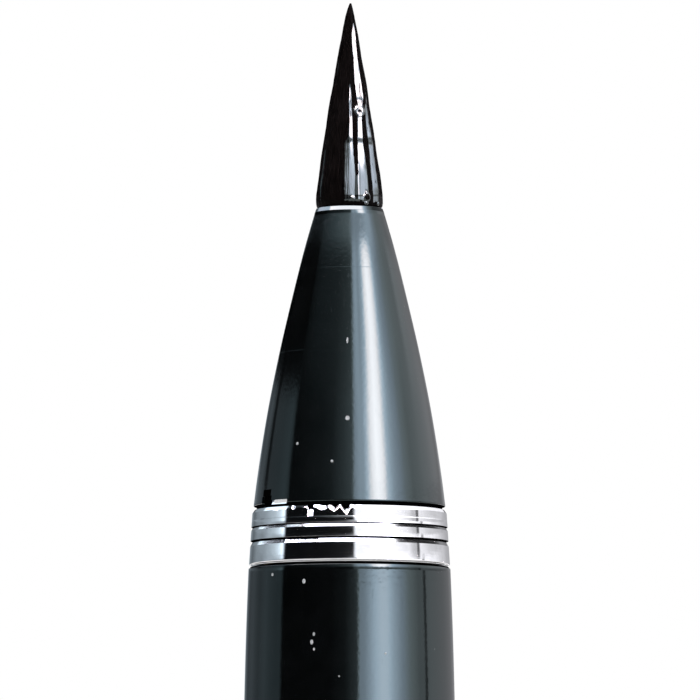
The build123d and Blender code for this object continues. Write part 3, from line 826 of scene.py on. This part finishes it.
# ======================================================================== clip
def make_clip():
    """A stamped strip: tongue, bend, long crowned arm, bump and lifted toe."""
    t = 0.55
    path = [(-5.52, 5.80), (-6.60, 5.80), (-7.00, 5.83), (-7.22, 5.97), (-7.34, 6.25),
            (-7.385, 6.9), (-7.42, 9.0), (-7.52, 14.0), (-7.62, 20.0), (-7.68, 27.0),
            (-7.69, 33.0), (-7.60, 34.8), (-7.36, 36.2), (-7.17, 37.0), (-7.10, 37.55),
            (-7.17, 38.1), (-7.42, 38.8), (-7.72, 39.45)]
    # resample the path smoothly
    P = np.array(path)
    seg = np.r_[0, np.cumsum(np.linalg.norm(np.diff(P, axis=0), axis=1))]
    fy, fz = smooth_curve(seg, P[:, 0]), smooth_curve(seg, P[:, 1])
    s = np.unique(np.r_[np.linspace(0, 4.0, 26), np.linspace(4.0, seg[-1] - 6, 40),
                        np.linspace(seg[-1] - 6, seg[-1], 40)])
    Y, Z = fy(s), fz(s)
    dY, dZ = np.gradient(Y, s), np.gradient(Z, s)
    ln = np.hypot(dY, dZ)
    dY, dZ = dY / ln, dZ / ln
    nY, nZ = -dZ, dY                     # outward side of the strip is -Y
    verts, faces = [], []
    n_sec = 28
    for i in range(len(s)):
        z = Z[i]
        w = 1.80 if z < 7 else 1.80 - 0.40 * (z - 7) / 32
        toe = max(0.0, (s[i] - (seg[-1] - 1.35)) / 1.35)
        w *= math.sqrt(max(0.03, 1 - 0.86 * toe ** 2))
        tk = t * (1 - 0.25 * toe)
        for k in range(n_sec):
            a = 2 * math.pi * k / n_sec
            # rounded rectangle, with a slightly crowned outer face
            c, d = math.cos(a), math.sin(a)
            ex = math.copysign(abs(c) ** 0.38, c) * w
            ey = math.copysign(abs(d) ** 0.55, d) * tk / 2
            crown = 0.07 * (1 - (ex / w) ** 2) if d > 0 and z > 7.5 else 0.0
            off = ey * 0.98 + min(crown, 0.0)
            if d > 0 and z > 7.5:
                off -= 0.07 * (ex / w) ** 2
            verts.append((ex * MM, (Y[i] + nY[i] * off) * MM, (z + nZ[i] * off) * MM))
    m = len(s)
    for i in range(m - 1):
        for k in range(n_sec):
            a, b = i * n_sec + k, i * n_sec + (k + 1) % n_sec
            faces.append((a, b, b + n_sec, a + n_sec))
    faces.append(tuple(range(n_sec)))
    faces.append(tuple(reversed(range((m - 1) * n_sec, m * n_sec))))
    return finish_mesh("pocket_clip_vis", verts, faces, sharp=50)


clip = make_clip()
put(clip, M_CLIP, "clip", "polished_metal", "pocket_clip")

# ======================================================================== tuft
tuft_f = smooth_curve(
    [0.0, 0.40, 1.10, 2.25, 3.29, 4.44, 5.60, 6.75, 7.90, 9.06, 10.21, 11.10, 11.42, 11.62,
     11.76, 11.84, 11.90, 11.95, 11.97, 12.2],
    [0.032, 0.155, 0.312, 0.525, 0.700, 0.905, 1.100, 1.277, 1.455, 1.620, 1.780, 1.890,
     1.920, 1.920, 1.912, 1.900, 1.870, 1.790, 1.780, 1.775])
ROWS = np.r_[0.03, np.linspace(0.08, 1.0, 16), np.linspace(1.07, 11.40, 150),
             np.linspace(11.44, 11.96, 22), 11.99, 12.1, 12.4]
SEG = 480
THETA = np.arange(SEG) * 2 * math.pi / SEG
TURN = (np.degrees(THETA) + 90 + 180) % 360 - 180     # 0 at the front, + to the right

# how the wet film lies on the front: facet edges in degrees, at each distance
FILM = np.array([
    # t     b0    ba    b1    b2    b3    b4    b5
    [1.20, 14.0, 14.0, 14.0, 36.0, 36.5, 60.0, 60.0],
    [1.45, 14.0, 14.0, 14.0, 29.0, 44.0, 60.0, 60.0],
    [1.85, 10.0, 10.0, 10.0, 16.0, 44.5, 60.0, 60.0],
    [2.72, 8.0, 8.0, 8.0, 16.5, 38.0, 60.0, 60.0],
    [3.30, 8.0, 8.0, 8.0, 18.5, 36.5, 60.0, 60.0],
    [3.87, 8.0, 8.0, 8.0, 19.0, 40.0, 60.0, 60.0],
    [4.74, 1.0, 1.0, 1.5, 20.0, 43.0, 59.0, 59.0],
    [5.60, -1.5, -1.5, 6.0, 22.7, 43.0, 56.0, 56.5],
    [6.20, -1.0, -1.0, 6.6, 25.0, 36.0, 44.0, 50.0],
    [6.93, 0.0, 0.0, 6.8, 20.0, 29.0, 44.0, 52.0],
    [7.95, -1.0, 0.0, 7.0, 18.0, 28.0, 46.0, 55.0],
    [8.30, -10.0, 1.0, 7.4, 17.5, 28.5, 48.0, 57.5],
    [10.2, -9.0, 0.0, 11.0, 16.0, 35.0, 48.0, 58.5],
    [11.6, -9.0, 0.0, 11.0, 16.0, 35.0, 48.0, 59.0]])
# and the way each facet faces there: left, teal, streak, between, streak, between,
# ridge, edge
FACING = np.array([
    [1.20, -12.0, 2.0, 2.0, 8.0, 19.0, 55.0, 62.0, 78.0],
    [5.60, -14.0, 16.0, 19.0, 0.0, 20.0, 52.0, 40.0, 78.0],
    [7.90, -14.0, 6.0, 19.0, 2.0, 20.0, 56.0, 33.0, 80.0],
    [9.20, -14.0, 6.5, 12.0, 6.0, 24.0, 56.0, 34.0, 80.0],
    [10.2, -14.0, 6.5, 7.5, 3.0, 35.0, 56.0, 35.0, 80.0],
    [11.6, -14.0, 6.5, 8.0, 3.5, 36.5, 54.0, 36.0, 78.0]])


def at(table, t):
    return [float(np.interp(t, table[:, 0], table[:, k])) for k in range(1, table.shape[1])]


def clump_layer(count, seed, jitter=0.6):
    r = np.random.default_rng(seed)
    step = 2 * math.pi / count
    ang = np.sort((np.arange(count) + r.uniform(-jitter / 2, jitter / 2, count)) * step)
    return ang, r.uniform(0.4, 1.0, count)


def clump(theta, layer):
    """0 on top of a clump of hair, up to 1 in the valley beside it."""
    ang, amp = layer
    th = np.mod(theta - ang[0], 2 * math.pi)
    edges = np.r_[ang - ang[0], 2 * math.pi]
    i = np.clip(np.searchsorted(edges, th, side="right") - 1, 0, len(ang) - 1)
    u = (th - edges[i]) / (edges[i + 1] - edges[i])
    top = np.sin(np.pi * np.clip(u, 0, 1)) ** 0.75
    depth = amp[i] * (1 - u) + amp[(i + 1) % len(ang)] * u
    return depth * (1 - top)


COARSE, MIDDLE, FINE = clump_layer(9, 11), clump_layer(26, 5), clump_layer(150, 3)
DROPS = ((26.5, 6.44, 0.35, -0.028), (31.7, 11.47, 0.27, 0.11), (5.0, 11.52, 0.15, 0.06),
         (60.0, 11.76, 0.12, 0.05), (31.5, 11.19, 0.13, 0.05), (31.0, 11.78, 0.13, 0.05))


def film_log(t):
    """Logarithm of the radius around the bundle, from the way the facets face."""
    b, face = at(FILM, t), at(FACING, t)
    fine = np.arange(-180, 180, 0.25)
    want = np.array(fine)
    cuts = [-34.0] + b + [94.0]
    centre = [(lo, hi, f) for lo, hi, f in zip(cuts, cuts[1:], face)]
    for lo, hi, f in centre:
        if hi > lo:
            want[(fine >= lo) & (fine < hi)] = f
    tilt = fine - want
    kernel = np.hanning(15)
    tilt = np.convolve(np.r_[tilt[-30:], tilt, tilt[:30]], kernel / kernel.sum(), "same")[30:-30]
    slope = np.tan(np.radians(np.clip(tilt, -38, 38)))
    back = (fine < -46) | (fine > 112)
    slope[back] -= slope.sum() / back.sum()
    log_r = np.cumsum(slope) * math.radians(0.25)
    left, right = np.interp([-90.0, 90.0], fine, log_r)
    s = np.sin(np.radians(fine))
    return fine, log_r - left * (1 - s) / 2 - right * (1 + s) / 2


def tuft_rows():
    """Radius of the wet bundle at every row and angle, and where the film is wet."""
    R = np.zeros((len(ROWS), SEG))
    wet = np.zeros((len(ROWS), SEG), bool)
    logs = np.array([film_log(t)[1] for t in ROWS])
    fine = np.arange(-180, 180, 0.25)
    near = np.exp(-((ROWS[:, None] - ROWS[None, :]) / 0.20) ** 2)
    logs = (near / near.sum(1, keepdims=True)) @ logs        # soften along the hair
    comb = np.random.default_rng(9).uniform(-1, 1, 110)[
        (THETA / (2 * math.pi) * 110).astype(int) % 110]
    for i, t in enumerate(ROWS):
        base = float(tuft_f(t))
        log_r = logs[i]
        grow = np.clip((t - 0.9) / 0.6, 0, 1) * np.clip((11.88 - t) / 0.28, 0, 1)
        shape = np.exp(np.interp(TURN, fine, log_r, period=360) * grow)
        wander = 0.10 * np.sin(0.55 * t + 1.3 * np.sin(THETA)) + 0.03 * np.sin(1.7 * t)
        a = THETA + wander * np.clip((12 - t) / 6, 0, 1)
        front = np.clip((TURN + 58) / 25, 0, 1) * np.clip((104 - TURN) / 25, 0, 1)
        inside = np.clip((11.88 - t) / 0.40, 0, 1)
        w0 = np.clip((11.5 - t) / 5.0, 0.3, 1.0) * (1 - front)
        w1 = np.clip((t - 0.8) / 3.5, 0, 1) * (1 - 0.85 * front)
        w2 = np.clip((t - 0.6) / 4.0, 0.0, 1)
        dip = (0.095 * w0 * clump(a, COARSE) + 0.050 * w1 * clump(a, MIDDLE)) * min(base, 1.45)
        dip = dip + 0.0055 * w2 * clump(a, FINE)
        edge = 0.012 * np.sin(2.3 * t + 3 * THETA) * np.clip(t / 2, 0, 1)
        r = base * shape - (dip + edge) * inside - 0.008 + 0.022 * (1 - front) * inside
        b = at(FILM, t)
        jag = 1.0 * np.sin(5.1 * t) * np.sin(2.2 * t + 1)
        on = ((TURN > b[0] + jag * 0.4) & (TURN < b[2] + jag * 0.3)
              | (TURN > b[3] - jag * 0.3) & (TURN < b[4] + jag * 0.4)
              | (TURN > b[5] + jag * 0.4) & (TURN < b[6] - jag * 0.3))
        on |= (TURN > b[2]) & (TURN < b[3]) & (t > 9.9 + 0.7 * comb)
        on &= (t > 1.25) & (t < 11.70 + 0.05 * comb)
        other = np.sin(7 * THETA + 0.6 * np.sin(0.8 * t)) + 0.8 * np.sin(17 * THETA + 1.1) > 0.75
        on |= other & (front < 0.02) & (t > 1.2) & (t < 11.55)
        for ang, dt, size, high in DROPS:
            d = np.hypot(np.radians(TURN - ang) * base, t - dt) / size
            if high > 0:
                r = r + high * np.clip(1 - d ** 2, 0, 1) ** 1.6
                on = (on | (d < 0.95)) & ((d > 0.60) | (size < 0.2))
            else:                                # a tiny ring of film
                r = r - high * np.exp(-((d - 0.62) / 0.24) ** 2)
                on = (on | (d < 0.95)) & (d > 0.30)
        R[i], wet[i] = np.maximum(r, 0.003), on
    return R, wet


TUFT_R, TUFT_WET = tuft_rows()


def lean(z):
    """The very tip leans a little to the right."""
    return 0.060 * np.exp(-np.maximum(TOTAL - z, 0) / 1.6)


def make_core():
    loop = [(0, TOTAL - 0.004)] + [(1.0, TOTAL - t) for t in ROWS]
    ridged = len(loop)
    loop += [(1.77, 131.15), (1.54, 131.0), (1.54, 129.4), (1.77, 129.25), (1.77, 128.6),
             (0.42, 128.6), (0.42, 137.9), (0, 138.0)]

    def shape(th, r, z, i):
        return TUFT_R[i - 1] if 0 < i < ridged else np.full(len(th), r)
    ob = lathe("tuft_wet_body", loop, SEG, shape, sharp=60)
    ob.data.materials.append(M_DRY)
    ob.data.materials.append(M_WET)
    order = ROWS
    for p in ob.data.polygons:
        c = p.center / MM
        t = TOTAL - c.z
        if t > 12.2 or math.hypot(c.x, c.y) < 1e-4:
            continue
        i = min(int(np.searchsorted(order, t)), len(order) - 1)
        k = int(round((math.atan2(c.y, c.x) % (2 * math.pi)) / (2 * math.pi) * SEG)) % SEG
        p.material_index = int(TUFT_WET[i][k])
    for v in ob.data.vertices:
        v.co.x += float(lean(v.co.z / MM)) * MM
    return ob


def make_hairs(count=150, sides=6, rows=44):
    """Tapered hairs that lie in the surface and run together at the tip."""
    verts, faces = [], []
    cs = [(math.cos(2 * math.pi * k / sides), math.sin(2 * math.pi * k / sides))
          for k in range(sides)]
    for h in range(count):
        th0 = 2 * math.pi * (h + rng.uniform(-0.45, 0.45)) / count
        t0 = 12.15
        t1 = 0.05 + 6.8 * rng.uniform(0, 1) ** 1.5
        rad0 = rng.uniform(0.028, 0.040)
        out = rng.uniform(0.003, 0.012)
        ph, k1 = rng.uniform(0, 6.28), rng.uniform(0.25, 0.6)
        amp = rng.uniform(0.01, 0.04)
        pull = rng.normal(0, 0.08)
        base = len(verts)
        for i in range(rows):
            u = 1 - (1 - i / (rows - 1)) ** 1.15
            t = t0 + (t1 - t0) * u
            rad = rad0 * (1 - u ** 2.2) * 0.97 + 0.0022
            rad = min(rad, 0.24 * float(tuft_f(t)) + 0.002)
            th = th0 + amp * math.sin(k1 * t + ph) + pull * u * u
            row = min(int(np.searchsorted(ROWS, t)), len(ROWS) - 1)
            col = int(round((th % (2 * math.pi)) / (2 * math.pi) * SEG)) % SEG
            hold = min(1.0, max(0.0, (11.75 - t) / 0.5))
            proud = out * hold if not TUFT_WET[row][col] else -0.010
            r = float(TUFT_R[row][col]) - rad + proud * (1 - 0.6 * u) - 0.05 * (1 - hold)
            cx, cy = math.cos(th), math.sin(th)
            shift = float(lean(TOTAL - t))
            for a, b in cs:
                rr = r + rad * a
                verts.append(((rr * cx - rad * b * cy + shift) * MM,
                              (rr * cy + rad * b * cx) * MM, (TOTAL - t) * MM))
        for i in range(rows - 1):
            for k in range(sides):
                n = (k + 1) % sides
                a = base + i * sides
                faces.append((a + k, a + n, a + sides + n, a + sides + k))
        faces.append(tuple(base + k for k in range(sides)))
        faces.append(tuple(base + (rows - 1) * sides + k for k in reversed(range(sides))))
    me = bpy.data.meshes.new("tuft_hairs")
    me.from_pydata(verts, [], faces)
    bm = bmesh.new()
    bm.from_mesh(me)
    bmesh.ops.recalc_face_normals(bm, faces=bm.faces)
    bm.to_mesh(me)
    bm.free()
    me.polygons.foreach_set("use_smooth", [True] * len(me.polygons))
    me.materials.append(M_DRY)
    ob = bpy.data.objects.new("tuft_hairs", me)
    scene.collection.objects.link(ob)
    return ob


core = make_core()
hairs = make_hairs()
for piece in (core, hairs):
    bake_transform(piece)
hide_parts("tuft_point", "tuft_belly")

# =================================================== pieces kept from the frame
inner = {
    "tuft_binding": ("binding_thread", (0.52, 0.48, 0.40), 0.7, 0.0, 2.0, (1, 1, 9)),
    "tuft_root_bead": ("sealant", (0.55, 0.42, 0.22), 0.25, 0.0, 1.5, None),
    "tuft_ferrule": ("ferrule_steel", (0.60, 0.60, 0.61), 0.28, 1.0, 1.0, (1, 1, 14)),
    "ink_wick": ("wick_fibre", (0.06, 0.06, 0.07), 0.8, 0.0, 4.0, (6, 6, 0.5)),
    "ink_collector": ("feed_black", (0.020, 0.020, 0.021), 0.5, 0.0, 5.0, None),
    "cartridge_nipple": ("feed_black", (0.020, 0.020, 0.021), 0.4, 0.0, 5.0, None),
    "thread_bush": ("bush_brass", (0.76, 0.56, 0.25), 0.25, 1.0, 1.0, (1, 1, 16)),
    "cartridge_body": ("milky_plastic", (0.70, 0.72, 0.72), 0.35, 0.0, 1.2, None),
    "cartridge_mouth": ("seal_rubber", (0.03, 0.03, 0.03), 0.5, 0.0, 4.0, None),
    "cartridge_ball": ("ferrule_steel", (0.60, 0.60, 0.61), 0.15, 1.0, 2.0, None),
    "cap_inner_sleeve": ("sleeve_plastic", (0.030, 0.031, 0.033), 0.4, 0.0, 2.0, (1, 1, 4)),
}
for node, (slot, colour, rough, metal, grain, stretch) in inner.items():
    mat = plain_part("m_" + node, colour, rough, metal, grain, stretch=stretch)
    ob = nodes[node]
    for i in range(max(1, len(ob.material_slots))):
        if ob.material_slots:
            ob.material_slots[i].link = "OBJECT"
            ob.material_slots[i].material = mat
        else:
            ob.data.materials.append(mat)


# ======================================================================= floor
def make_floor():
    bm = bmesh.new()
    bmesh.ops.create_circle(bm, cap_ends=True, radius=3.0, segments=96)
    me = bpy.data.meshes.new("floor")
    bm.to_mesh(me)
    bm.free()
    ob = bpy.data.objects.new("floor", me)
    scene.collection.objects.link(ob)
    mat, nt, bsdf, co = base_material("pale_floor")
    n = noise(nt, co, 0.05, 3.0)
    nt.links.new(mix_colour(nt, n, (0.80, 0.80, 0.80), (0.84, 0.84, 0.84)),
                 bsdf.inputs["Base Color"])
    nt.links.new(remap(nt, n, 0.3, 0.7, 0.7, 0.85), bsdf.inputs["Roughness"])
    bsdf.inputs["Specular IOR Level"].default_value = 0.03
    ob.data.materials.append(mat)


make_floor()
